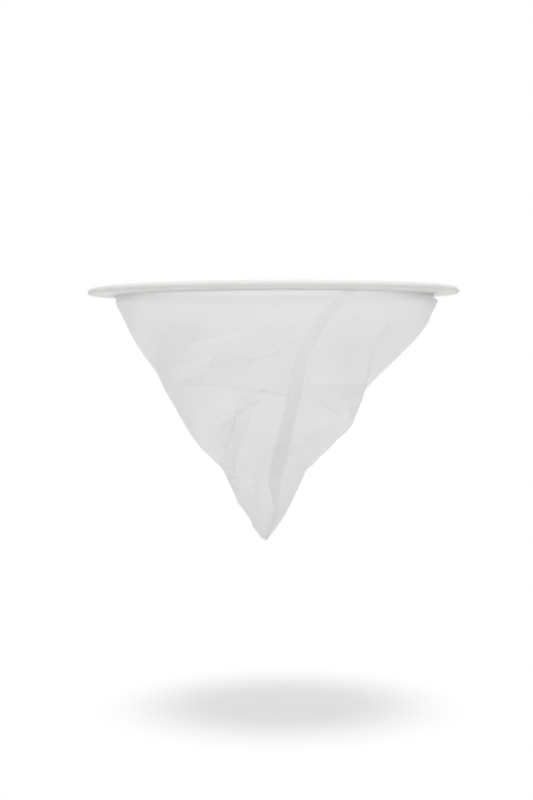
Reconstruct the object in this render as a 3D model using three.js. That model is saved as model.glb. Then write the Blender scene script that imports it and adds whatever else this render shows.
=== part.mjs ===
// Conical honey filter: a moulded plastic rim ring that sits on the mouth of a bucket, and a cone of
// nylon mesh, rolled from one sheet and closed by one lapped seam, whose top edge is held in a groove
// under the ring. Millimetres, +Z up. The origin is the centre of the ring's seat face, and the cone
// hangs below it. The front is -Y and the seam runs down the front.
import * as THREE from 'three';

// Rim ring, as a section that is turned about Z. The seat face is flat and lies at z = 0.
const flangeWidth = 21.4; // from the cloth out to the ring's outer edge
const rimThickness = 6.2;
const noseDepth = 3.4; // from the flat seat out to the rounded edge
const noseHeight = 2.9; // where the rounded edge reaches furthest out
const crownInset = 6.5; // from the outer edge in to the highest line of the top face
const topFall = 0.8; // the top face drops this much from its crown to the bore
const boreEdgeRadius = 0.8;
const lipDrop = 1.6; // the lip round the groove stands this far below the seat
const lipWall = 1.6; // plastic on either side of the groove
const ringSegments = 72;
const noseSteps = 4;

// Mesh cone
const clothTopRadius = 128.6; // outer face of the cloth where the ring holds it
const clothThickness = 0.6;
const grooveClearance = 0.4;
const hemDepth = 4.6; // how far the edge of the cloth reaches up into the ring from the lip
const coneDepth = 198.6; // from the seat face down to the tip
const tipOffset = -7.1; // the tip hangs this far to the left of the axis
const tipRadius = 1.8; // the last ring of the cloth above its rounded tip
const tipRound = 1.6; // height of that rounded tip
const girthSpare = 0.55; // share of a bulge at the sides that is taken in at the front and back
const coneColumns = 50;
const coneRows = 27;

// Lapped seam down the front of the cone
const seamWidth = 12;
const seamRaise = 0.5; // the extra layer of cloth stands out this far
const seamEdgeRun = 0.6; // width of the step at each side of the lap

// Places on the cone are given as [across, down]. Across runs from -1 at the left edge to 1 at the
// right one, as seen from their own side, and down from 0 at the seat face to 1 at the tip.
const seamLine = [
  [0.46, 0], [0.43, 0.03], [0.35, 0.11], [0.27, 0.235], [0.24, 0.31], [0.25, 0.48], [0.24, 0.57],
  [0.21, 0.65], [0.17, 0.715], [0.17, 0.775], [0.29, 0.825], [0.5, 0.87], [0.5, 1],
];

// The crumpled outline seen from the front, as [millimetres outside the plain cone, down]
const leftBulge = [
  [0, 0], [2, 0.032], [5.3, 0.089], [6, 0.162], [5.4, 0.235], [3.2, 0.308], [3.4, 0.332],
  [7.2, 0.43], [8.5, 0.503], [8, 0.576], [6.3, 0.624], [-0.6, 0.697], [-0.9, 0.722],
  [1.7, 0.795], [4.2, 0.843], [2.3, 0.916], [3.7, 0.941], [2.6, 0.989], [0, 1],
];
const rightBulge = [
  [0, 0], [7.2, 0.025], [9.9, 0.083], [10.8, 0.131], [9.4, 0.18], [5.3, 0.254], [-3.1, 0.401],
  [2.8, 0.474], [6.4, 0.548], [2.7, 0.573], [-3.5, 0.671], [-4.1, 0.695], [-6.5, 0.72],
  [-2.8, 0.793], [1.8, 0.915], [0.9, 0.989], [0, 1],
];
const outlineSlant = 0.45; // the kinks of the outline run down round the cone at this slope

// Creases of the cloth. lift is how far, in millimetres, the cloth stands out along the crease, or in
// where it is negative, and reach is how far to each side it is felt.
const frontCreases = [
  { path: [[-0.59, 0.2], [-0.45, 0.184], [-0.23, 0.163]], lift: 3, reach: 24 },
  { path: [[-0.95, 0.18], [-0.91, 0.266], [-0.9, 0.31]], lift: -2.5, reach: 16 },
  { path: [[-0.89, 0.36], [-0.61, 0.32], [-0.52, 0.27]], lift: -3, reach: 18 },
  { path: [[-0.81, 0.37], [-0.3, 0.39], [-0.08, 0.4], [0.16, 0.417]], lift: 4, reach: 26 },
  { path: [[-0.86, 0.36], [-0.89, 0.43], [-0.96, 0.58]], lift: 3, reach: 16 },
  { path: [[-0.08, 0.4], [-0.3, 0.55], [-0.64, 0.71]], lift: 5, reach: 22 },
  { path: [[-0.11, 0.42], [-0.33, 0.46], [-0.54, 0.48]], lift: -3, reach: 14 },
  { path: [[-0.4, 0.49], [-0.59, 0.59], [-0.83, 0.67]], lift: 3, reach: 12 },
  { path: [[-0.41, 0.23], [-0.18, 0.263], [0.02, 0.244], [0.23, 0.164]], lift: -3, reach: 20 },
  { path: [[0.8, 0.14], [0.77, 0.23], [0.87, 0.34], [0.86, 0.38], [0.79, 0.49]], lift: -5, reach: 22 },
  { path: [[0.39, 0.361], [0.61, 0.37], [0.86, 0.36]], lift: 2.5, reach: 18 },
  { path: [[0.59, 0.45], [0.8, 0.5], [0.97, 0.54]], lift: 4, reach: 16 },
  { path: [[0.84, 0.515], [0.48, 0.6], [0.43, 0.69]], lift: -3, reach: 16 },
  { path: [[0.93, 0.55], [0.89, 0.61], [0.81, 0.69]], lift: -3, reach: 12 },
  { path: [[-0.88, 0.75], [-0.44, 0.74], [-0.01, 0.745]], lift: 2.5, reach: 12 },
];
const backCreases = [
  { path: [[-0.83, 0.15], [-0.64, 0.29], [-0.63, 0.44]], lift: -5, reach: 26 },
  { path: [[-0.63, 0.44], [-0.25, 0.49], [0.36, 0.45]], lift: 4, reach: 24 },
  { path: [[0.36, 0.45], [0.32, 0.6], [0.04, 0.76]], lift: 5, reach: 20 },
  { path: [[0.36, 0.45], [0.62, 0.36], [0.96, 0.3]], lift: -4, reach: 24 },
  { path: [[-0.26, 0.12], [0.06, 0.26], [0.39, 0.17]], lift: 4, reach: 26 },
  { path: [[-0.63, 0.44], [-0.72, 0.59], [-0.55, 0.7]], lift: 3.5, reach: 16 },
  { path: [[0.92, 0.46], [0.85, 0.59], [0.61, 0.68]], lift: -3.5, reach: 16 },
];
const creaseFade = 22; // creases grow over this height below the ring
const outlineFade = 5; // and bulges of the outline over this one
const creaseSharpness = 1.5; // 1 is a plain ridge, and more makes its flanks hollow
const fullCreaseRadius = 30; // below this radius creases shrink with the cone
const outlineHold = 6; // the higher, the nearer to the outline creases keep their full lift

const grooveInner = clothTopRadius - clothThickness - grooveClearance;
const grooveOuter = clothTopRadius + grooveClearance;
const rimOuterRadius = clothTopRadius + flangeWidth;
const hemTop = hemDepth - lipDrop;
const coneTop = -lipDrop; // below this the cloth hangs free

const clamp = (value, low, high) => Math.min(high, Math.max(low, value));
const smooth = (value) => value * value * (3 - 2 * value);

// The first value of a [value, down] line at height z, straight from point to point
function along(line, z) {
  const down = -z / coneDepth;
  let i = 1;
  while (i < line.length - 1 && line[i][1] < down) i += 1;
  const [value0, down0] = line[i - 1];
  const [value1, down1] = line[i];
  return value0 + (value1 - value0) * clamp((down - down0) / (down1 - down0), 0, 1);
}

// The plain cone that the crumpled one is measured from: its radius and the x of its middle
const plainRadius = (z) => clothTopRadius * clamp(1 + z / coneDepth, 0, 1);
const plainMiddle = (z) => tipOffset * clamp(-z / coneDepth, 0, 1);

// The cone without its creases. The angle runs from the front, -Y, towards the right, +X.
function baseRadius(angle, z) {
  const sideways = Math.sin(angle);
  const line = sideways < 0 ? leftBulge : rightBulge;
  const fromSide = Math.asin(clamp(Math.abs(sideways), 0, 1)) - Math.PI / 2;
  const turn = Math.cos(angle) > 0 ? fromSide : -fromSide;
  const slid = clamp(z + outlineSlant * turn * plainRadius(z), -coneDepth, coneTop);
  const inward = -girthSpare * (along(leftBulge, z) + along(rightBulge, z)) / 2;
  const share = sideways * sideways;
  const fade = clamp((coneTop - z) / outlineFade, 0, 1);
  return plainRadius(z) + fade * (share * along(line, slid) + (1 - share) * inward);
}

function basePoint(angle, z) {
  const radius = baseRadius(angle, z);
  return new THREE.Vector3(
    plainMiddle(z) + radius * Math.sin(angle), -radius * Math.cos(angle), z,
  );
}

const onCone = (crease, start) => ({
  ...crease,
  points: crease.path.map(([across, down]) => basePoint(start + Math.asin(across), -down * coneDepth)),
});
const creases = [
  ...frontCreases.map((crease) => onCone(crease, 0)),
  ...backCreases.map((crease) => onCone(crease, Math.PI)),
];

function distanceTo(points, place) {
  const near = new THREE.Vector3();
  let best = Infinity;
  for (let i = 1; i < points.length; i += 1) {
    new THREE.Line3(points[i - 1], points[i]).closestPointToPoint(place, true, near);
    best = Math.min(best, near.distanceTo(place));
  }
  return best;
}

function creaseLift(angle, z) {
  const place = basePoint(angle, z);
  const steady = 1 - Math.sin(angle) ** outlineHold; // the creases leave the outline as it is
  const fade = smooth(clamp((coneTop - z) / creaseFade, 0, 1));
  const room = clamp(plainRadius(z) / fullCreaseRadius, 0, 1);
  let lift = 0;
  for (const crease of creases) {
    const share = clamp(1 - distanceTo(crease.points, place) / crease.reach, 0, 1);
    lift += crease.lift * share ** creaseSharpness;
  }
  return lift * steady * fade * room;
}

// Angles of the columns of the grid at height z. The first ones are the two edges of the lap.
const lapColumns = 2;
function columnAngles(z) {
  const middle = Math.asin(along(seamLine, z));
  const radius = Math.max(plainRadius(z), seamWidth);
  const half = seamWidth / 2 / radius;
  const edge = half + seamEdgeRun / radius;
  const angles = [-half, half];
  for (let j = 0; j <= coneColumns; j += 1) {
    angles.push(edge + (2 * Math.PI - 2 * edge) * (j / coneColumns));
  }
  return angles.map((angle) => middle + angle);
}

// The cone as a closed skin: an outer and an inner face, joined round the mouth
function meshCone() {
  const columns = lapColumns + coneColumns + 1;
  const heights = [hemTop, coneTop];
  const lowest = -coneDepth + tipRound;
  for (let i = 1; i <= coneRows; i += 1) {
    heights.push(coneTop + (lowest - coneTop) * (i / coneRows));
  }
  const points = [];
  for (const inner of [false, true]) {
    heights.forEach((z) => {
      const held = z >= coneTop;
      columnAngles(Math.min(z, coneTop)).forEach((angle, j) => {
        const free = Math.max(baseRadius(angle, z) + creaseLift(angle, z), tipRadius);
        const outer = held ? clothTopRadius : free;
        const raised = j < lapColumns && !held && !inner ? seamRaise : 0;
        const radius = outer + raised - (inner ? clothThickness : 0);
        const middle = held ? 0 : plainMiddle(z);
        points.push([middle + radius * Math.sin(angle), -radius * Math.cos(angle), z]);
      });
    });
  }
  const perSkin = heights.length * columns;
  const outerTip = points.push([tipOffset, 0, -coneDepth]) - 1;
  const innerTip = points.push([tipOffset, 0, -coneDepth + tipRound + clothThickness]) - 1;
  const at = (skin, i, j) => skin * perSkin + i * columns + (j % columns);
  const faces = [];
  const last = heights.length - 1;
  for (let j = 0; j < columns; j += 1) {
    for (let i = 0; i < last; i += 1) {
      faces.push([at(0, i, j), at(0, i + 1, j), at(0, i + 1, j + 1)]);
      faces.push([at(0, i, j), at(0, i + 1, j + 1), at(0, i, j + 1)]);
      faces.push([at(1, i, j), at(1, i + 1, j + 1), at(1, i + 1, j)]);
      faces.push([at(1, i, j), at(1, i, j + 1), at(1, i + 1, j + 1)]);
    }
    faces.push([at(0, last, j), outerTip, at(0, last, j + 1)]);
    faces.push([at(1, last, j), at(1, last, j + 1), innerTip]);
    faces.push([at(0, 0, j), at(0, 0, j + 1), at(1, 0, j + 1)]);
    faces.push([at(0, 0, j), at(1, 0, j + 1), at(1, 0, j)]);
  }
  const geometry = new THREE.BufferGeometry();
  geometry.setAttribute('position', new THREE.Float32BufferAttribute(points.flat(), 3));
  geometry.setIndex(faces.flat());
  geometry.computeVertexNormals();
  return geometry;
}

// Part of an ellipse from one angle to another, as points of the ring's section
function arc(r, z, width, height, from, to, steps) {
  const points = [];
  for (let i = 0; i <= steps; i += 1) {
    const turn = from + (to - from) * (i / steps);
    points.push([r + width * Math.cos(turn), z + height * Math.sin(turn)]);
  }
  return points;
}

function rimRing() {
  const boreRadius = grooveInner - lipWall;
  const lipOuter = grooveOuter + lipWall;
  const grooveRoof = hemTop + grooveClearance;
  const noseFoot = rimOuterRadius - noseDepth;
  const crown = rimOuterRadius - crownInset;
  const boreTop = rimThickness - topFall;
  const section = [
    [boreRadius, -lipDrop],
    [grooveInner, -lipDrop],
    [grooveInner, grooveRoof],
    [grooveOuter, grooveRoof],
    [grooveOuter, -lipDrop],
    [lipOuter, -lipDrop],
    [lipOuter + lipDrop / 2, 0],
    ...arc(noseFoot, noseHeight, noseDepth, noseHeight, -Math.PI / 2, 0, noseSteps),
    ...arc(crown, noseHeight, crownInset, rimThickness - noseHeight, 0, Math.PI / 2, noseSteps).slice(1),
    [(crown + boreRadius) / 2, rimThickness - topFall / 3],
    ...arc(boreRadius + boreEdgeRadius, boreTop - boreEdgeRadius, boreEdgeRadius, boreEdgeRadius,
      Math.PI / 2, Math.PI, 2),
    [boreRadius, -lipDrop],
  ];
  const profile = section.map(([r, z]) => new THREE.Vector2(r, z));
  const geometry = new THREE.LatheGeometry(profile, ringSegments);
  geometry.rotateX(Math.PI / 2);
  return geometry;
}

const ringPlastic = new THREE.MeshStandardMaterial({ color: '#f1f1ec', roughness: 0.42, metalness: 0 });
const nylonMesh = new THREE.MeshStandardMaterial({ color: '#dfe1de', roughness: 0.7, metalness: 0 });

const filter = new THREE.Group();
const rim = new THREE.Mesh(rimRing(), ringPlastic);
rim.name = 'rim_ring';
filter.add(rim);
const cone = new THREE.Mesh(meshCone(), nylonMesh);
cone.name = 'filter_cone';
filter.add(cone);

export default filter;
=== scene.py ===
# %% [markdown]
# # A conical honey filter
#
# The object is a cone of fine nylon mesh whose top edge sits in a groove under a white plastic ring.
# The ring rests on the mouth of a bucket and the cone hangs inside it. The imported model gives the
# sizes and the frame: +Z is up, the origin is the middle of the ring's seat, and the seam of the
# cloth runs down the front, which is -Y. Everything below is in metres.

# %% Load the frame
import math

import bpy
import numpy as np
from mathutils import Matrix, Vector


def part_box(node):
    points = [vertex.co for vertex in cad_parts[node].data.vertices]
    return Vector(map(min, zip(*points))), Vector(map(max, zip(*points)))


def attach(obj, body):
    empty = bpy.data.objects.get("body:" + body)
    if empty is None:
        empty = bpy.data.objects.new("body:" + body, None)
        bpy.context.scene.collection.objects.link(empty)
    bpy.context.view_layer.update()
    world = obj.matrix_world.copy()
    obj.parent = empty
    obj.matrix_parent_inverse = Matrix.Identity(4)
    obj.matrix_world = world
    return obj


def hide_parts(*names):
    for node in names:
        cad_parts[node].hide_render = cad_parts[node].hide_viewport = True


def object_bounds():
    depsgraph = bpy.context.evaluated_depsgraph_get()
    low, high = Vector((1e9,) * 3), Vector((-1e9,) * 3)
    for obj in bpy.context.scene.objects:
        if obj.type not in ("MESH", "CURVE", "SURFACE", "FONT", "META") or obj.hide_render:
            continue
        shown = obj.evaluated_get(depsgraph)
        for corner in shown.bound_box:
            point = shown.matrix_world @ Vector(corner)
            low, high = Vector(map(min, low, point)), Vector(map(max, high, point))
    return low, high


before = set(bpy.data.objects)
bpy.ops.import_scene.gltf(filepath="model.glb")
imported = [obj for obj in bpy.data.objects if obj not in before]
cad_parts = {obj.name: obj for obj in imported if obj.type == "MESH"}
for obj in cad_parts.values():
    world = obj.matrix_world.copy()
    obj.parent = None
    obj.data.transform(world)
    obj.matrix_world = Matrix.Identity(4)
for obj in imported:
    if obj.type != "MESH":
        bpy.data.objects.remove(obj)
cad_low, cad_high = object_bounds()
MM = 0.001
print("model box in mm:", [round(v / MM, 1) for v in (*cad_low, *cad_high)])

# %% [markdown]
# ## The sizes that both pieces share
#
# The ring and the cloth meet in the groove, so the sizes that place the groove are written once.
# The ring's outer radius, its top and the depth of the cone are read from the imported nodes.

# %% Shared sizes
ring_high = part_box("rim_ring")[1]
cone_low, cone_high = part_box("filter_cone")
RING_RADIUS = ring_high[0]
RING_TOP = ring_high[2]
CONE_DEPTH = -cone_low[2]
HEM_TOP = cone_high[2]
FLANGE_WIDTH = 21.4 * MM
CLOTH_TOP_RADIUS = RING_RADIUS - FLANGE_WIDTH
CAD_SKIN = 0.6 * MM
GROOVE_CLEARANCE = 0.4 * MM
LIP_DROP = 1.0 * MM
print("ring radius", round(RING_RADIUS / MM, 1), "cone depth", round(CONE_DEPTH / MM, 1))

# %% [markdown]
# ## A mesh from rows of points
#
# Both pieces are grids: the ring is a section turned round an axis, and the cloth is a sheet of rows
# and columns. One helper turns an array of points, rows by columns, into a mesh. It can close the
# grid round in either direction, and it can end it in one point.


# %% Grid helper
def grid_mesh(name, points, wrap_rows=False, wrap_columns=False, tip=None):
    rows, columns = points.shape[:2]
    vertices = [tuple(p) for p in points.reshape(-1, 3)]
    faces = []
    for i in range(rows if wrap_rows else rows - 1):
        here = i * columns
        under = (i + 1) % rows * columns
        for j in range(columns if wrap_columns else columns - 1):
            right = (j + 1) % columns
            faces.append((here + j, under + j, under + right, here + right))
    if tip is not None:
        vertices.append(tuple(tip))
        last = (rows - 1) * columns
        faces += [(last + j, len(vertices) - 1, last + j + 1) for j in range(columns - 1)]
    mesh = bpy.data.meshes.new(name)
    mesh.from_pydata(vertices, [], faces)
    mesh.update()
    piece = bpy.data.objects.new(name, mesh)
    bpy.context.scene.collection.objects.link(piece)
    mesh.shade_smooth()
    print(name, "has", len(mesh.vertices), "vertices")
    return piece


# %% [markdown]
# ## The ring
#
# The real ring is injection moulded polypropylene. It is thin for its width, with a rounded outer
# edge, a top face that falls a little to the bore, and a lip underneath with the groove in it. It
# could be a torus with modifiers, but a turned section keeps every radius exact, so the section is
# written out from the underside of the lip round to the bore. The widest line of the outer edge is
# low down. The mould parts there, and leaves a fine witness line.

# %% The ring's section
NOSE_DEPTH = 3.4 * MM
NOSE_HEIGHT = 2.0 * MM
CROWN_INSET = 6.5 * MM
TOP_FALL = 0.8 * MM
TOP_FACE = [(2 / 3, 0.15), (1 / 3, 0.55)]
BORE_EDGE = 0.8 * MM
LIP_WALL = 0.9 * MM
LIP_EDGE = 0.3 * MM
WITNESS = 0.07 * MM
LIP_STEPS = 4
NOSE_STEPS = 12
CROWN_STEPS = 14
BORE_STEPS = 6


def arc(r, z, width, height, start, end, steps):
    turns = np.linspace(math.radians(start), math.radians(end), steps + 1)
    return [(r + width * math.cos(t), z + height * math.sin(t)) for t in turns]


def ring_section():
    groove_in = CLOTH_TOP_RADIUS - CAD_SKIN - GROOVE_CLEARANCE
    groove_out = CLOTH_TOP_RADIUS + GROOVE_CLEARANCE
    bore = groove_in - LIP_WALL
    lip_out = groove_out + LIP_WALL
    lip_edge = -LIP_DROP + LIP_EDGE
    roof = HEM_TOP + GROOVE_CLEARANCE
    nose = RING_RADIUS - NOSE_DEPTH
    crown = RING_RADIUS - CROWN_INSET
    bore_edge = RING_TOP - TOP_FALL - BORE_EDGE
    section = arc(bore + LIP_EDGE, lip_edge, LIP_EDGE, LIP_EDGE, 180, 270, LIP_STEPS)
    section += [(groove_in, -LIP_DROP), (groove_in, roof)]
    section += [(groove_out, roof), (groove_out, -LIP_DROP)]
    section += arc(lip_out - LIP_EDGE, lip_edge, LIP_EDGE, LIP_EDGE, 270, 340, LIP_STEPS)
    section += [(lip_out + LIP_DROP / 2, 0), ((lip_out + nose) / 2, 0)]
    section += arc(nose, NOSE_HEIGHT, NOSE_DEPTH - WITNESS, NOSE_HEIGHT, 270, 356, NOSE_STEPS)
    section += [(RING_RADIUS, NOSE_HEIGHT)]
    crown_height = RING_TOP - NOSE_HEIGHT
    section += arc(crown, NOSE_HEIGHT, CROWN_INSET - WITNESS, crown_height, 3, 90, CROWN_STEPS)
    section += [(bore + share * (crown - bore), RING_TOP - TOP_FALL * fall) for share, fall in TOP_FACE]
    section += arc(bore + BORE_EDGE, bore_edge, BORE_EDGE, BORE_EDGE, 90, 180, BORE_STEPS)
    return section


print("points in the ring's section:", len(ring_section()))

# %% [markdown]
# A thin moulded ring never stays perfectly flat. It warps by a fraction of a millimetre as it cools,
# so each turned copy of the section is lowered a little, by two low waves round the ring. The groove
# and the seat stay flat.

# %% Turn the section
RING_STEPS = 288
SHARP_ANGLE = 50
WARP = 0.12 * MM
WARP_WAVES = [(2, 1.0, 0.6), (3, 0.5, 2.1)]


def rim_ring():
    section = np.array(ring_section())
    turns = np.linspace(0, 2 * math.pi, RING_STEPS, endpoint=False)[:, None]
    warp = WARP * sum(size * (np.cos(count * turns + phase) - 1) for count, size, phase in WARP_WAVES)
    r = section[None, :, 0]
    z = section[None, :, 1]
    z = z + warp * (z > HEM_TOP + GROOVE_CLEARANCE * 2)
    points = np.stack([r * np.sin(turns), -r * np.cos(turns), z], axis=2)
    ring = grid_mesh("ring", points, wrap_rows=True, wrap_columns=True)
    ring.data.set_sharp_from_angle(angle=math.radians(SHARP_ANGLE))
    return ring


ring = rim_ring()
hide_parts("rim_ring")
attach(ring, "root")

# %% [markdown]
# ## The shape of the cloth
#
# The cloth was cut as a flat sector, rolled to a cone and joined down one side. It has been folded in
# its packet, so it doesn't hang as a true cone: its outline bulges and pinches, and creases run
# across it. A cloth simulation would crumple it somewhere, but not where this one is crumpled, so the
# shape is built up from what is seen. A place on the cone is written as (across, down).
# Across runs from -1 at the left edge to 1 at the right edge, and down from 0 at the seat to 1 at the
# tip. The outline is a list of how far it stands outside the plain cone, in millimetres, and how far
# down.

# %% Outline of the cone
TIP_OFFSET = -7.1 * MM
LEFT_BULGE = [
    (0, 0), (1, 0.032), (4.8, 0.089), (6, 0.162), (5.4, 0.235), (3.2, 0.308), (3.4, 0.332),
    (7.2, 0.43), (8.5, 0.503), (8, 0.576), (6.3, 0.624), (-0.6, 0.697), (-0.9, 0.722),
    (1.7, 0.795), (4.2, 0.843), (2.3, 0.916), (3.7, 0.941), (2.6, 0.989), (0, 1),
]
RIGHT_BULGE = [
    (0, 0), (7.2, 0.025), (9.9, 0.083), (10.8, 0.131), (9.4, 0.18), (5.3, 0.254), (-3.1, 0.401),
    (2.8, 0.474), (6.4, 0.548), (2.7, 0.573), (-3.5, 0.671), (-4.1, 0.695), (-6.5, 0.72),
    (-2.8, 0.793), (1.8, 0.915), (0.9, 0.989), (0, 1),
]


def along(line, down):
    values, places = zip(*line)
    return np.interp(down, places, values)


def smooth(value):
    value = np.clip(value, 0, 1)
    return value * value * (3 - 2 * value)


def plain_radius(z):
    return CLOTH_TOP_RADIUS * np.clip(1 + z / CONE_DEPTH, 0, 1)


def plain_middle(z):
    return TIP_OFFSET * np.clip(-z / CONE_DEPTH, 0, 1)


print("plain radius half way down:", round(float(plain_radius(-CONE_DEPTH / 2)) / MM, 1), "mm")

# %% [markdown]
# The bulges at the left and right edges slide down round the cone, as the folds that make them do,
# and they die out quickly towards the front and back. What the cloth gains at the sides it gives up
# there, because cloth hardly stretches. That level is averaged over a short height, so that a kink of
# the outline doesn't draw a line right across the front.

# %% Radius of the cone without its creases
GIRTH_SPARE = 0.55
OUTLINE_SLANT = 0.45
OUTLINE_SPREAD = 3.5
OUTLINE_FADE = 5 * MM
LEVEL_BLUR = 0.09
LEVEL_SAMPLES = 7


def level_bulge(z):
    shifts = np.linspace(-LEVEL_BLUR, LEVEL_BLUR, LEVEL_SAMPLES)
    places = [-z / CONE_DEPTH + shift for shift in shifts]
    return sum(along(LEFT_BULGE, down) + along(RIGHT_BULGE, down) for down in places) / len(places)


def base_radius(angle, z):
    sideways = np.sin(angle)
    from_side = np.arcsin(np.clip(np.abs(sideways), 0, 1)) - math.pi / 2
    turn = np.where(np.cos(angle) > 0, from_side, -from_side)
    slid = np.clip(z + OUTLINE_SLANT * turn * plain_radius(z), -CONE_DEPTH, -LIP_DROP)
    left = along(LEFT_BULGE, -slid / CONE_DEPTH)
    right = along(RIGHT_BULGE, -slid / CONE_DEPTH)
    share = np.abs(sideways) ** OUTLINE_SPREAD
    bulge = share * np.where(sideways < 0, left, right) - (1 - share) * GIRTH_SPARE * level_bulge(z) / 2
    fade = np.clip((-LIP_DROP - z) / OUTLINE_FADE, 0, 1)
    return plain_radius(z) + fade * bulge * MM


def on_cone(angle, z, radius):
    x = plain_middle(z) + radius * np.sin(angle)
    return np.stack(np.broadcast_arrays(x, -radius * np.cos(angle), z), axis=-1)


halfway = [float(base_radius(turn, -CONE_DEPTH / 2)) / MM for turn in (0, math.pi / 2, -math.pi / 2)]
print("radius half way down, front, right and left:", [round(radius, 1) for radius in halfway])

# %% [markdown]
# ## Creases
#
# A crease in crumpled cloth is a nearly straight ridge between two places where the cloth is pinched.
# Each one is a path, a lift, and how far it reaches to either side, in millimetres. It makes a broad,
# low tent, which turns the cloth into facets, and a narrow ridge, which draws the line that is seen
# in the light. The lift tells how the tents compare with each other, and a negative one makes a
# valley.

# %% Creases on the front
FRONT_CREASES = [
    ([(-0.59, 0.2), (-0.45, 0.184), (-0.23, 0.163)], 3, 24),
    ([(-0.95, 0.18), (-0.91, 0.266), (-0.9, 0.31)], -2.5, 16),
    ([(-0.89, 0.36), (-0.61, 0.32), (-0.52, 0.27)], -3, 18),
    ([(-0.81, 0.37), (-0.55, 0.377), (-0.3, 0.391), (-0.08, 0.4), (0.16, 0.417)], 1.6, 26),
    ([(-0.86, 0.36), (-0.89, 0.43), (-0.96, 0.58)], 3, 16),
    ([(-0.08, 0.4), (-0.3, 0.55), (-0.64, 0.71)], 3.5, 22),
    ([(-0.11, 0.42), (-0.33, 0.46), (-0.54, 0.48)], -1, 14),
    ([(-0.4, 0.49), (-0.59, 0.59), (-0.83, 0.67)], 0.8, 12),
    ([(-0.41, 0.23), (-0.32, 0.249), (-0.18, 0.263), (0.02, 0.244), (0.23, 0.164)], -1, 20),
    ([(0.8, 0.14), (0.77, 0.23), (0.87, 0.34), (0.86, 0.38), (0.79, 0.49)], 13, 14),
    ([(0.39, 0.361), (0.61, 0.37), (0.86, 0.36)], -6, 28),
    ([(0.59, 0.45), (0.8, 0.5), (0.97, 0.54)], 4, 16),
    ([(0.84, 0.515), (0.67, 0.549), (0.48, 0.6), (0.43, 0.69)], -3, 16),
    ([(0.93, 0.55), (0.89, 0.61), (0.81, 0.69)], -3, 12),
    ([(-0.88, 0.75), (-0.44, 0.74), (-0.01, 0.745)], 2.5, 12),
    ([(-0.76, 0.53), (-0.6, 0.51), (-0.46, 0.49)], -12, 20),
]
print("creases on the front:", len(FRONT_CREASES))

# %% [markdown]
# The back isn't seen in the picture. Its creases are a guess of the same kind: a few long ridges that
# meet in two pinched places.

# %% Creases on the back
BACK_CREASES = [
    ([(-0.83, 0.15), (-0.64, 0.29), (-0.63, 0.44)], -5, 26),
    ([(-0.63, 0.44), (-0.25, 0.49), (0.36, 0.45)], 4, 24),
    ([(0.36, 0.45), (0.32, 0.6), (0.04, 0.76)], 5, 20),
    ([(0.36, 0.45), (0.62, 0.36), (0.96, 0.3)], -4, 24),
    ([(-0.26, 0.12), (0.06, 0.26), (0.39, 0.17)], 4, 26),
    ([(-0.63, 0.44), (-0.72, 0.59), (-0.55, 0.7)], 3.5, 16),
    ([(0.92, 0.46), (0.85, 0.59), (0.61, 0.68)], -3.5, 16),
]
print("creases on the back:", len(BACK_CREASES))

# %% [markdown]
# Finer creases run between the large ones, too shallow to turn a facet. They are lines only, and the
# second number is the height of the line in millimetres. The last one is the lower edge of the hem,
# a shallow groove just under the ring.

# %% Fine lines on the front
FINE_CREASES = [
    ([(-0.73, 0.14), (-0.67, 0.22)], -0.4),
    ([(-0.88, 0.295), (-0.69, 0.282), (-0.54, 0.263)], 0.35),
    ([(-0.08, 0.397), (0.05, 0.414), (0.16, 0.417)], 0.3),
    ([(-0.59, 0.59), (-0.67, 0.649), (-0.74, 0.716)], -0.5),
    ([(-0.1, 0.156), (-0.11, 0.207), (-0.12, 0.263)], 0.35),
    ([(-0.17, 0.273), (-0.18, 0.329), (-0.09, 0.396)], 0.4),
    ([(0.48, 0.385), (0.56, 0.423), (0.75, 0.486)], -0.4),
    ([(0.89, 0.141), (0.89, 0.267), (0.88, 0.33), (0.9, 0.359)], 0.6),
    ([(-0.87, 0.768), (-0.47, 0.796), (-0.28, 0.876)], -0.4),
    ([(0.81, 0.727), (0.75, 0.776), (0.58, 0.846)], 0.4),
    ([(0.82, 0.044), (0.87, 0.094)], -0.35),
    ([(0.88, 0.041), (0.96, 0.071)], 0.35),
    ([(0.38, 0.214), (0.52, 0.138), (0.57, 0.1)], -0.35),
    ([(0.53, 0.289), (0.58, 0.27), (0.59, 0.232)], 0.3),
    ([(-0.87, 0.7), (-0.6, 0.725), (-0.3, 0.7)], 0.35),
    ([(-0.87, 0.7), (-0.66, 0.79), (-0.5, 0.84)], -0.35),
    ([(-0.98, 0.012), (-0.57, 0.04), (0, 0.052), (0.45, 0.048), (0.9, 0.024)], -1.2),
]
print("fine lines:", len(FINE_CREASES))

# %% [markdown]
# Small creases lie between the large ones. They are scattered with a fixed seed, so that every run
# gives the same cloth: short, straight, less than a millimetre high, and at any slope.

# %% Scatter small creases
SMALL_CREASES = 70
SMALL_DOWN = (0.08, 0.86)
SMALL_SLOPE = (-1.2, 1.2)
SMALL_LENGTH = (12, 42)
SMALL_LIFT = (0.25, 0.8)
SMALL_REACH = (5, 10)
SMALLEST_RADIUS = 20 * MM
scatter = np.random.default_rng(11)


def small_creases():
    found = []
    for _ in range(SMALL_CREASES):
        angle = scatter.uniform(-math.pi, math.pi)
        down = scatter.uniform(*SMALL_DOWN)
        slope = scatter.uniform(*SMALL_SLOPE)
        length = scatter.uniform(*SMALL_LENGTH) * MM
        lift = scatter.choice([-1, 1]) * scatter.uniform(*SMALL_LIFT)
        reach = scatter.uniform(*SMALL_REACH)
        radius = max(float(plain_radius(-down * CONE_DEPTH)), SMALLEST_RADIUS)
        turn = length * math.cos(slope) / radius / 2
        drop = length * math.sin(slope) / CONE_DEPTH / 2
        found.append(([(angle - turn, down - drop), (angle + turn, down + drop)], lift, reach))
    return found


print("small creases:", SMALL_CREASES)

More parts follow.
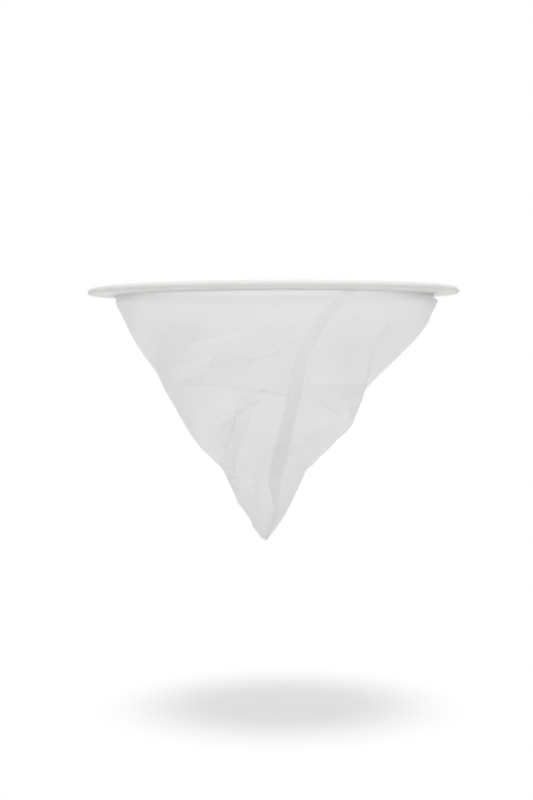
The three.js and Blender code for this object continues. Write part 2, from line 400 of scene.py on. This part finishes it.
# %% [markdown]
# Each crease becomes points in space on the cone, the height of its tent, its reach and the height of
# its ridge. Full tents would cast far more shade than this soft cloth shows, so they keep a quarter
# of their lift.

# %% Points of the creases
TENT_SHARE = 0.26
RIDGE_HEIGHT = 0.6 * MM
RIDGE_REACH = 2.6 * MM
CREASE_STEPS = 7


def crease_points(path):
    path = np.array(path, dtype=float)
    places = np.linspace(0, len(path) - 1, (len(path) - 1) * CREASE_STEPS + 1)
    angle = np.interp(places, range(len(path)), path[:, 0])
    z = -CONE_DEPTH * np.interp(places, range(len(path)), path[:, 1])
    return on_cone(angle, z, base_radius(angle, z))


def turned(path, start):
    return crease_points([(start + math.asin(across), down) for across, down in path])


def all_creases():
    found = []
    for side, start in ((FRONT_CREASES, 0), (BACK_CREASES, math.pi)):
        for path, lift, reach in side:
            ridge = math.copysign(RIDGE_HEIGHT, lift)
            found.append((turned(path, start), lift * MM * TENT_SHARE, reach * MM, ridge))
    for path, ridge in FINE_CREASES:
        found.append((turned(path, 0), 0, RIDGE_REACH, ridge * MM))
    for path, lift, reach in small_creases():
        found.append((crease_points(path), lift * MM, reach * MM, 0))
    return found


creases = all_creases()
print("creases in all:", len(creases))

# %% [markdown]
# The height of the cloth at a point is the sum of what every crease lifts there. The square root
# rounds the top of each tent and ridge to about the radius that folded mesh can take. Creases fade
# out at the ring, at the tip, and at the left and right edges, where the outline is already drawn.

# %% Sum of the creases
TENT_ROUND = 2.5 * MM
TENT_POWER = 1.5
RIDGE_ROUND = 0.5 * MM
CREASE_FADE = 22 * MM
FULL_CREASE_RADIUS = 30 * MM
OUTLINE_HOLD = 8


def distance_to(points, place):
    best = np.full(place.shape[:-1], np.inf)
    for start, end in zip(points[:-1], points[1:]):
        step = end - start
        share = np.clip((place - start) @ step / (step @ step), 0, 1)
        away = place - start - share[..., None] * step
        best = np.minimum(best, np.einsum("...i,...i", away, away))
    return np.sqrt(best)


def rounded(away, radius):
    return np.sqrt(away ** 2 + radius ** 2) - radius


def crumple_room(z):
    below_ring = smooth((-LIP_DROP - z) / CREASE_FADE)
    return below_ring * np.clip(plain_radius(z) / FULL_CREASE_RADIUS, 0, 1)


def crease_lift(angle, z):
    place = on_cone(angle, z, base_radius(angle, z))
    steady = 1 - np.sin(angle) ** OUTLINE_HOLD
    lift = np.zeros(np.broadcast(angle, z).shape)
    for points, height, reach, ridge in creases:
        away = distance_to(points, place)
        tent = np.clip(1 - rounded(away, TENT_ROUND) / reach, 0, 1) ** TENT_POWER
        lift += height * tent + ridge * smooth(1 - rounded(away, RIDGE_ROUND) / RIDGE_REACH)
    return lift * steady * crumple_room(z)


sample = crease_lift(np.array([0.0]), np.array([-CONE_DEPTH * 0.4]))
print("lift at the pinched place on the front:", round(float(sample[0]) / MM, 2), "mm")

# %% [markdown]
# Between creases the cloth is never quite smooth. A few long waves, also seeded, move it by a few
# tenths of a millimetre. Each wave closes on itself round the cone.

# %% Long waves
WAVES = 26
WAVE_HEIGHT = 0.22 * MM
WAVE_TURNS = (2, 13)
WAVE_PITCH = (0.03, 0.12)


def long_waves(angle, z):
    total = np.zeros(np.broadcast(angle, z).shape)
    for _ in range(WAVES):
        turns = scatter.integers(*WAVE_TURNS)
        pitch = scatter.uniform(*WAVE_PITCH)
        phase = scatter.uniform(0, 2 * math.pi)
        lean = scatter.choice([-1, 1])
        total = total + WAVE_HEIGHT * np.sin(turns * angle + lean * 2 * math.pi * z / pitch + phase)
    return total * crumple_room(z)


print("long waves:", WAVES, "of", WAVE_HEIGHT / MM, "mm")

# %% [markdown]
# ## The sheet and its lapped seam
#
# The cloth is one sheet of rows and columns. It starts at the left edge of the seam, goes once round
# the cone and 12 mm further, so that its last strip lies on its first one, as a real lap does. The
# lap narrows near the tip, where there is no room for it.

# %% Seam line
SEAM_WIDTH = 12 * MM
LAP_SHARE = [(1, 0), (1, 0.7), (0.62, 0.8), (0.42, 0.86), (0.3, 1)]
SEAM_LINE = [
    (0.46, 0), (0.43, 0.03), (0.35, 0.11), (0.27, 0.235), (0.24, 0.31), (0.25, 0.48), (0.24, 0.57),
    (0.21, 0.65), (0.17, 0.715), (0.17, 0.775), (0.29, 0.825), (0.5, 0.87), (0.5, 1),
]


def seam_angle(z):
    return np.arcsin(along(SEAM_LINE, -z / CONE_DEPTH))


def lap_radius(z):
    return np.maximum(plain_radius(z), SEAM_WIDTH)


def half_lap(z):
    return SEAM_WIDTH / 2 / lap_radius(z) * along(LAP_SHARE, -z / CONE_DEPTH)


print("the seam leaves the ring", round(math.degrees(seam_angle(0))), "degrees right of the middle")

# %% [markdown]
# The top rows stand up in the ring's groove, and the rows shrink to a point at the tip. The end of
# the sheet lies over its start, and a short ramp lifts it there. One layer of faces is enough: real
# mesh is 0.2 mm thick, and light has to pass it as it passes cloth.

# %% Points of the sheet
SHEET_COLUMNS = 476
HEM_ROWS = 4
CONE_ROWS = 200
LAP_RISE = 0.8 * MM
LAP_RUN = 1.8 * MM
HELD_RISE = 0.25 * MM
TIP_RADIUS = 1.2 * MM
TIP_ROUND = 1.2 * MM


def sheet_heights():
    hem = np.linspace(HEM_TOP, -LIP_DROP, HEM_ROWS, endpoint=False)
    hung = np.linspace(-LIP_DROP, -CONE_DEPTH + TIP_ROUND, CONE_ROWS)
    return np.concatenate([hem, hung])


def sheet_grid():
    z = sheet_heights()[:, None]
    hung = np.minimum(z, -LIP_DROP)
    share = np.linspace(0, 1, SHEET_COLUMNS)[None, :]
    half = half_lap(hung)
    angle = seam_angle(hung) - half + share * (2 * math.pi + 2 * half)
    past = (share - 1) * (2 * math.pi + 2 * half) + 2 * half
    over = smooth(past / (LAP_RUN / lap_radius(hung)) + 1)
    free = base_radius(angle, hung) + crease_lift(angle, hung) + long_waves(angle, hung)
    free = np.maximum(free, TIP_RADIUS) + over * LAP_RISE - CAD_SKIN / 2
    held = CLOTH_TOP_RADIUS - CAD_SKIN / 2 + over * HELD_RISE
    radius = np.where(z > -LIP_DROP, held, free)
    middle = np.where(z > -LIP_DROP, 0, plain_middle(z))
    x = middle + radius * np.sin(angle)
    points = np.stack(np.broadcast_arrays(x, -radius * np.cos(angle), z), axis=-1)
    return points, share


points, share = sheet_grid()
print("rows and columns of the sheet:", points.shape[:2])

# %% [markdown]
# The weave follows the flat cloth, so the sheet gets the coordinates that it had when it was cut: its
# place in a flat sector, in metres. The flat size comes from the same sector.

# %% Flat cut
SLANT = math.hypot(CONE_DEPTH, CLOTH_TOP_RADIUS)
SECTOR = 2 * math.pi * CLOTH_TOP_RADIUS / SLANT


def flat_places():
    z = points[..., 2]
    out = np.where(z > -LIP_DROP, SLANT + z + LIP_DROP, SLANT * (1 + z / CONE_DEPTH))
    turn = (share - 0.5) * SECTOR
    return np.stack([out * np.sin(turn), out * np.cos(turn)], axis=-1)


# %% [markdown]
# Two numbers are stored at every point for the cloth's colour. `lap` is how white the two layers of
# the seam are drawn: whitest in the upper quarter, much less below the middle, a little more at the
# tip.
# The second number is painted shade. It grows towards the tip, where less light reaches down into
# the narrow cone, and greys the cloth there.

# %% Tones stored on the sheet
LAP_WHITE = [(1, 0), (1, 0.25), (0.85, 0.38), (0.25, 0.5), (0.2, 0.7), (0.6, 1)]
LAP_SOFTNESS = 0.5
# The painted shade at the tip starts this far down the cone.
TIP_SHADE_START = 0.65


def lap_tone():
    z = points[..., 2]
    half = half_lap(np.minimum(z, -LIP_DROP))
    from_end = np.minimum(share, 1 - share) * (2 * math.pi + 2 * half)
    return smooth((2 * half - from_end) / half + LAP_SOFTNESS) * along(LAP_WHITE, -z / CONE_DEPTH)


# Painted shade: the cloth is greyer towards the tip, where less light reaches into the cone.
def tip_shade_tone():
    return smooth((-points[..., 2] / CONE_DEPTH - TIP_SHADE_START) / (1 - TIP_SHADE_START))


print("points with a whiter lap:", int((lap_tone() > 0.5).sum()))

# %% [markdown]
# Now the mesh can be made. The point at the tip is one more vertex, so every stored list gets one
# more value at its end.


# %% Make the cloth
def store(mesh, name, values, at_tip):
    layer = mesh.attributes.new(name, "FLOAT", "POINT")
    layer.data.foreach_set("value", np.append(values.ravel(), at_tip))


def mesh_cone():
    tip = (TIP_OFFSET, 0, -CONE_DEPTH + CAD_SKIN / 2)
    cloth = grid_mesh("mesh_cloth", points, tip=tip)
    flat = np.vstack([flat_places().reshape(-1, 2), [(0, 0)]])
    layer = cloth.data.uv_layers.new(name="flat_cut")
    corners = np.empty(len(cloth.data.loops), dtype=np.int64)
    cloth.data.loops.foreach_get("vertex_index", corners)
    layer.data.foreach_set("uv", flat[corners].ravel())
    store(cloth.data, "lap", lap_tone(), 0.0)
    # The painted shade towards the tip is stored as the second number.
    store(cloth.data, "tip_shade", tip_shade_tone(), 1.0)
    return cloth


cloth = mesh_cone()
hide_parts("filter_cone")
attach(cloth, "root")

# %% [markdown]
# ## Finishes
#
# A few helpers keep the node trees short. One makes a material and gives back its nodes and its
# shader, one fills a node's inputs with numbers or links, one adds a node, and the last two mix
# colours and shaders. Numbers that are the same all over a surface are set on the shader's own
# sockets.


# %% Material helpers
def new_material(name):
    material = bpy.data.materials.new(name)
    material.use_nodes = True
    shader = material.node_tree.nodes["Principled BSDF"]
    return material, material.node_tree, shader


def fill(tree, node, inputs):
    for name, value in inputs.items():
        if isinstance(value, bpy.types.NodeSocket):
            tree.links.new(value, node.inputs[name])
        else:
            node.inputs[name].default_value = value


def add(tree, kind, inputs=None, **settings):
    node = tree.nodes.new(kind)
    for name, value in settings.items():
        setattr(node, name, value)
    fill(tree, node, inputs or {})
    return node


def mix_colours(tree, share, first, second):
    mix = add(tree, "ShaderNodeMix", {"Factor": share, "A": first, "B": second}, data_type="RGBA")
    return mix.outputs["Result"]


def mix_shaders(tree, share, first, second):
    return add(tree, "ShaderNodeMixShader", {"Fac": share, 1: first, 2: second}).outputs["Shader"]


def surface(tree, shader):
    tree.links.new(shader, tree.nodes["Material Output"].inputs["Surface"])


print("material helpers are ready")

# %% [markdown]
# ### White moulded plastic
#
# The ring is white polypropylene with a satin skin and a slightly warm colour. The mould's fine
# texture is a weak bump, the gloss varies a little from place to place, and some light goes through
# the thin plastic, so that its underside is never quite dark.

# %% Ring finish
RING_COLOURS = [(0.9, 0.898, 0.872, 1), (0.925, 0.925, 0.905, 1)]
RING_LIGHT_DEPTH = 6 * MM
GRAIN_HEIGHT = 0.3 * MM


def ring_plastic():
    material, tree, shader = new_material("ring_plastic")
    place = add(tree, "ShaderNodeTexCoord").outputs["Object"]
    cloud = add(tree, "ShaderNodeTexNoise", {"Vector": place, "Scale": 22.0, "Detail": 3.0})
    grain = add(tree, "ShaderNodeTexNoise", {"Vector": place, "Scale": 900.0, "Detail": 4.0})
    rough = add(tree, "ShaderNodeMapRange", {
        "Value": cloud.outputs["Fac"], "From Min": 0.3, "From Max": 0.7, "To Min": 0.36, "To Max": 0.5,
    })
    bump = add(tree, "ShaderNodeBump", {
        "Height": grain.outputs["Fac"], "Strength": 0.18, "Distance": GRAIN_HEIGHT,
    })
    fill(tree, shader, {
        "Base Color": mix_colours(tree, cloud.outputs["Fac"], *RING_COLOURS),
        "Roughness": rough.outputs["Result"],
        "Normal": bump.outputs["Normal"],
        "Specular IOR Level": 0.45,
        "Subsurface Weight": 0.5,
        "Subsurface Radius": (1.0, 0.9, 0.75),
        "Subsurface Scale": RING_LIGHT_DEPTH,
    })
    return material


ring.data.materials.append(ring_plastic())
print("the ring has", ring.data.materials[0].name)

# %% [markdown]
# ### Nylon mesh
#
# The cloth is plain woven from clear threads about 0.2 mm thick, with holes smaller than the eye can
# part at this distance. Three things happen to light there: the threads scatter it back, they pass it
# on softly, and the holes let a little through unbent. The weave itself is two sets of waves across
# the flat cut, used as bump and as a faint change of tone. The tone also follows the two numbers
# stored on the sheet.

# %% Weave and tone of the cloth
THREAD_PITCH = 0.5 * MM
BLENDER_WAVES_PER_METRE = 20 / (2 * math.pi)
CLOTH_COLOURS = [(0.924, 0.924, 0.918, 1), (0.949, 0.949, 0.944, 1)]
THREAD_COLOUR = (0.904, 0.904, 0.898, 1)
# The grey of the painted shade at the tip.
TIP_SHADE_COLOUR = (0.886, 0.886, 0.88, 1)
LAP_COLOUR = (0.986, 0.986, 0.982, 1)


def threads(tree, flat, direction):
    return add(tree, "ShaderNodeTexWave", {
        "Vector": flat, "Scale": 1 / BLENDER_WAVES_PER_METRE / THREAD_PITCH, "Distortion": 0.0,
    }, wave_type="BANDS", bands_direction=direction, wave_profile="SIN").outputs["Fac"]


def stored(tree, name):
    return add(tree, "ShaderNodeAttribute", attribute_name=name).outputs["Fac"]


def cloth_tone(tree, weave):
    place = add(tree, "ShaderNodeTexCoord").outputs["Object"]
    cloud = add(tree, "ShaderNodeTexNoise", {"Vector": place, "Scale": 35.0, "Detail": 4.0})
    tone = mix_colours(tree, cloud.outputs["Fac"], *CLOTH_COLOURS)
    tone = mix_colours(tree, weave, tone, THREAD_COLOUR)
    # Painted shade greys the cloth towards the tip.
    tone = mix_colours(tree, stored(tree, "tip_shade"), tone, TIP_SHADE_COLOUR)
    return mix_colours(tree, stored(tree, "lap"), tone, LAP_COLOUR)


print("threads to the metre:", round(1 / THREAD_PITCH))

# %% [markdown]
# The scattered light is the Principled shader, the light passed on softly a Translucent one mixed
# with it, and the light through the holes a plain alpha. Holes as geometry would be far too many,
# and far too small to see.

# %% Cloth finish
THREAD_BUMP = 0.1 * MM
CLOTH_ALPHA = 0.86
CLOTH_THROUGH = 0.25


def nylon_mesh():
    material, tree, shader = new_material("nylon_mesh")
    flat = add(tree, "ShaderNodeUVMap", uv_map="flat_cut").outputs["UV"]
    weave = add(tree, "ShaderNodeMath", {
        0: threads(tree, flat, "X"), 1: threads(tree, flat, "Y"),
    }, operation="MULTIPLY").outputs["Value"]
    tone = cloth_tone(tree, weave)
    bump = add(tree, "ShaderNodeBump", {
        "Height": weave, "Strength": 0.12, "Distance": THREAD_BUMP,
    }).outputs["Normal"]
    fill(tree, shader, {
        "Base Color": tone,
        "Normal": bump,
        "Roughness": 0.6,
        "Specular IOR Level": 0.3,
        "Sheen Weight": 0.15,
        "Sheen Roughness": 0.5,
    })
    through = add(tree, "ShaderNodeBsdfTranslucent", {"Color": tone, "Normal": bump}).outputs["BSDF"]
    holes = add(tree, "ShaderNodeBsdfTransparent").outputs["BSDF"]
    body = mix_shaders(tree, CLOTH_THROUGH, shader.outputs["BSDF"], through)
    surface(tree, mix_shaders(tree, CLOTH_ALPHA, holes, body))
    return material


cloth.data.materials.append(nylon_mesh())
print("the cloth has", cloth.data.materials[0].name)

# %% [markdown]
# ## Floor and light
#
# The filter hangs free over a white floor under a large soft light from above, and its shadow is a
# soft oval below it. Only rays from the camera, and those seen in gloss or through the mesh, find
# the floor pure white away from the shadow. Two helpers tell where that is: one asks what kind of ray
# it is, and the other how far from the middle of the oval it lands.

# %% Where the floor is seen white
SHADOW_MIDDLE = (0.005, 0.035, 0.0)
SHADOW_ACROSS = 0.15
SHADOW_ALONG = 0.32
SHADOW_EDGE = (0.3, 1.05)
SHADOW_LIGHT = 0.28


def seen_directly(tree):
    path = add(tree, "ShaderNodeLightPath")
    seen = path.outputs["Is Camera Ray"]
    for ray in ("Is Glossy Ray", "Is Transmission Ray"):
        either = add(tree, "ShaderNodeMath", {0: seen, 1: path.outputs[ray]}, operation="MAXIMUM")
        seen = either.outputs["Value"]
    return seen


def away_from_shadow(tree):
    place = add(tree, "ShaderNodeTexCoord").outputs["Object"]
    scale = (1 / SHADOW_ACROSS, 1 / SHADOW_ALONG, 0.0)
    below = add(tree, "ShaderNodeVectorMath", {0: place, 1: SHADOW_MIDDLE}, operation="SUBTRACT")
    oval = add(tree, "ShaderNodeVectorMath", {
        0: below.outputs["Vector"], 1: scale,
    }, operation="MULTIPLY")
    away = add(tree, "ShaderNodeVectorMath", {0: oval.outputs["Vector"]}, operation="LENGTH")
    return add(tree, "ShaderNodeMapRange", {
        "Value": away.outputs["Value"], "From Min": SHADOW_EDGE[0], "From Max": SHADOW_EDGE[1],
        "To Min": SHADOW_LIGHT,
    }, interpolation_type="SMOOTHSTEP").outputs["Result"]


print("half the shadow's width and length:", SHADOW_ACROSS, "and", SHADOW_ALONG, "m")

# %% [markdown]
# The floor itself is a plain matt sheet, large enough for its edge and horizon to vanish into the
# white surroundings. It is one-sided, so that the filter can also be seen from below.

# %% Floor
FLOOR_DROP = 136 * MM
FLOOR_HALF = 4.0
FLOOR_COLOUR = (0.8, 0.8, 0.8, 1)
FLOOR_SEEN_COLOUR = (0.97, 0.97, 0.97, 1)
floor_height = cad_low.z - FLOOR_DROP


def white_floor():
    material, tree, shader = new_material("white_floor")
    seen = seen_directly(tree)
    fill(tree, shader, {
        "Base Color": mix_colours(tree, seen, FLOOR_COLOUR, FLOOR_SEEN_COLOUR),
        "Roughness": 0.9,
        "Specular IOR Level": 0.0,
    })
    glow = add(tree, "ShaderNodeEmission", {"Color": (1, 1, 1, 1), "Strength": 1.0})
    white = add(tree, "ShaderNodeMath", {0: away_from_shadow(tree), 1: seen}, operation="MULTIPLY")
    front = mix_shaders(tree, white.outputs["Value"], shader.outputs["BSDF"], glow.outputs["Emission"])
    behind = add(tree, "ShaderNodeNewGeometry").outputs["Backfacing"]
    nothing = add(tree, "ShaderNodeBsdfTransparent").outputs["BSDF"]
    surface(tree, mix_shaders(tree, behind, front, nothing))
    return material


def floor_sheet():
    mesh = bpy.data.meshes.new("floor")
    edge = FLOOR_HALF
    corners = [(-edge, -edge), (edge, -edge), (edge, edge), (-edge, edge)]
    mesh.from_pydata([(x, y, floor_height) for x, y in corners], [], [(0, 1, 2, 3)])
    mesh.materials.append(white_floor())
    floor = bpy.data.objects.new("floor", mesh)
    bpy.context.scene.collection.objects.link(floor)
    return floor


floor_sheet()
print("floor at", round(floor_height, 4))

# %% [markdown]
# The world is white where it is seen and dimmer as a light. Three soft lamps do the rest: a large one
# overhead, a weaker one in front, and one flat on the floor that stands for the light a wide white
# studio floor throws up. The camera doesn't see the last one.

# %% World and lamps
WORLD_LEVEL = 0.38
LAMPS = [
    ("overhead", (0, 0, 1.6), (0, 0, 0), 2.4, 21, True),
    ("front", (0.1, -3.0, 0.1), (0, 0, -0.05), 1.6, 15, True),
    ("bounce", (0, 0, floor_height + 2 * MM), (0, 0, 1), 3.0, 2.2, False),
]


def white_world():
    world = bpy.data.worlds.new("white_room")
    world.use_nodes = True
    bpy.context.scene.world = world
    tree = world.node_tree
    level = add(tree, "ShaderNodeMapRange", {
        "Value": seen_directly(tree), "To Min": WORLD_LEVEL, "To Max": 1.0,
    })
    fill(tree, tree.nodes["Background"], {"Color": (1, 1, 1, 1), "Strength": level.outputs["Result"]})


def soft_lamp(name, place, aim, side, watts, in_view):
    lamp = bpy.data.lights.new(name, "AREA")
    lamp.size = side
    lamp.energy = watts
    holder = bpy.data.objects.new(name, lamp)
    holder.location = place
    holder.rotation_euler = (Vector(aim) - Vector(place)).to_track_quat("-Z", "Y").to_euler()
    holder.visible_camera = in_view
    bpy.context.scene.collection.objects.link(holder)


white_world()
for lamp in LAMPS:
    soft_lamp(*lamp)
print("lamps:", [name for name, *_ in LAMPS], "and a world at", WORLD_LEVEL)

# %% [markdown]
# ## Camera
#
# The picture was taken from a little below the ring, with a long lens, so that the ring is seen
# almost edge on with a sliver of its underside. The camera is level and rolled by a third of a
# degree, as the photograph is.

# %% Camera
CAMERA_PLACE = (-0.0061, -2.25, -0.0849)
CAMERA_ROLL = 0.0054
CAMERA_REACH = (0.05, 50)
SENSOR_HEIGHT = 36.0
FOCAL_PIXELS = 2785.0
PICTURE_HEIGHT = 800


def photo_camera():
    data = bpy.data.cameras.new("camera")
    data.sensor_fit = "VERTICAL"
    data.sensor_height = SENSOR_HEIGHT
    data.lens = FOCAL_PIXELS / PICTURE_HEIGHT * SENSOR_HEIGHT
    data.clip_start, data.clip_end = CAMERA_REACH
    camera = bpy.data.objects.new("camera", data)
    camera.location = CAMERA_PLACE
    camera.rotation_euler = (math.pi / 2, CAMERA_ROLL, 0)
    bpy.context.scene.collection.objects.link(camera)
    bpy.context.scene.camera = camera
    return camera


camera = photo_camera()
bpy.context.scene.view_settings.view_transform = "Standard"
print("lens", round(camera.data.lens, 1), "mm")
